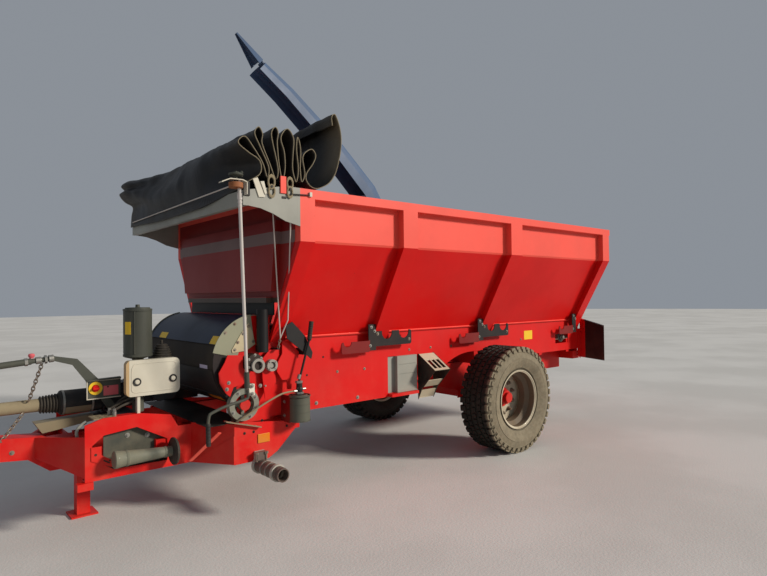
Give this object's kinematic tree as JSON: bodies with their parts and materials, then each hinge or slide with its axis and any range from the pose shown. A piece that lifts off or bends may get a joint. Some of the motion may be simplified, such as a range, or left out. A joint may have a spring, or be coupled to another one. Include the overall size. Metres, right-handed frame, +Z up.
{
  "type": "straw blower",
  "caption": "Towed single-axle straw blower with an open hopper, front rotor under a curved hood, side duct and a swivelling spout.",
  "frame": {"origin": "centre of the towing eye", "axes": "+X forward along the drawbar, +Y to the left, +Z up"},
  "size_m": [7.103, 2.7488, 4.6754],
  "materials": {
    "red_paint": "gloss enamel, sun-bleached and dusty",
    "grey_paint": "satin grey paint",
    "blue_grey_paint": "satin blue-grey paint",
    "black_paint": "black paint, chipped",
    "worn_steel": "bare worn steel",
    "zinc": "zinc plated",
    "rim_paint": "silver rim paint, dusty",
    "tyre_rubber": "rubber under dry mud",
    "black_rubber": "matt rubber",
    "black_plastic": "moulded guard plastic",
    "cover_plastic": "off-white moulded cover",
    "lamp_plastic": "lamp lens",
    "tarp_cloth": "coated tarpaulin, dusty"
  },
  "bodies": {
    "trailer": {"chassis_rails": "red_paint", "cross_members": "red_paint", "axle": "red_paint", "front_frame": "red_paint", "drawbar": "red_paint", "towing_eye": "worn_steel", "hopper_side_left": "red_paint", "hopper_side_right": "red_paint", "posts_left": "red_paint", "posts_right": "red_paint", "rims": "red_paint", "front_wall": "red_paint", "deck": "worn_steel", "floor_chain": "worn_steel", "rear_frame": "red_paint", "rear_lamps": "lamp_plastic", "visor": "grey_paint", "hood": "blue_grey_paint", "rotor_housing": "red_paint", "motors": "worn_steel", "fan": "red_paint", "duct": "blue_grey_paint", "shaft_guard": "black_plastic", "gearbox": "black_paint", "tower": "grey_paint", "valve_cover": "cover_plastic", "isolator": "grey_paint", "stowed_cylinder": "grey_paint", "tarp_crank": "zinc", "tool_box": "grey_paint", "step": "zinc", "grease_can": "black_plastic", "hose_coupling": "zinc", "hooks": "black_paint", "tarp": "tarp_cloth"},
    "wheel_left": {"tyre_left": "tyre_rubber", "rim_left": "rim_paint", "hub_left": "red_paint"},
    "wheel_right": {"tyre_right": "tyre_rubber", "rim_right": "rim_paint", "hub_right": "red_paint"},
    "beater": {"beater": "worn_steel"},
    "rotor": {"rotor": "worn_steel"},
    "spout": {"spout": "blue_grey_paint"},
    "spout_flap": {"spout_flap": "blue_grey_paint"},
    "tailgate": {"tailgate": "red_paint"},
    "parking_leg": {"parking_leg": "red_paint"},
    "drive_shaft": {"drive_shaft": "worn_steel"}
  },
  "joints": [
    {"name": "wheel_left_spin", "type": "hinge", "parent": "trailer", "child": "wheel_left", "pos_m": [-4.96, 1.066, -0.094], "axis": [0, 1, 0], "continuous": true},
    {"name": "wheel_right_spin", "type": "hinge", "parent": "trailer", "child": "wheel_right", "pos_m": [-4.96, -1.066, -0.094], "axis": [0, 1, 0], "continuous": true},
    {"name": "beater_spin", "type": "hinge", "parent": "trailer", "child": "beater", "pos_m": [-2.79, 0, 0.66], "axis": [0, 1, 0], "continuous": true},
    {"name": "rotor_spin", "type": "hinge", "parent": "trailer", "child": "rotor", "pos_m": [-2.27, 0, 0.475], "axis": [0, 1, 0], "continuous": true},
    {"name": "drive_shaft_spin", "type": "hinge", "parent": "trailer", "child": "drive_shaft", "pos_m": [-1.32, 0, 0.215], "axis": [1, 0, 0], "continuous": true},
    {"name": "spout_swivel", "type": "hinge", "parent": "trailer", "child": "spout", "pos_m": [-5.29, -1.312, 1.81], "axis": [0, 0, 1], "range_deg": [-190, 0]},
    {"name": "flap_tilt", "type": "hinge", "parent": "spout", "child": "spout_flap", "pos_m": [-3.44569, -1.312, 3.76391], "axis": [0, 1, 0], "range_deg": [0, 60]},
    {"name": "tailgate_lift", "type": "hinge", "parent": "trailer", "child": "tailgate", "pos_m": [-6.971, 0, 1.73], "axis": [0, 1, 0], "range_deg": [0, 85]},
    {"name": "leg_slide", "type": "slide", "parent": "trailer", "child": "parking_leg", "axis": [0, 0, 1], "range_m": [0, 0.15]}
  ]
}
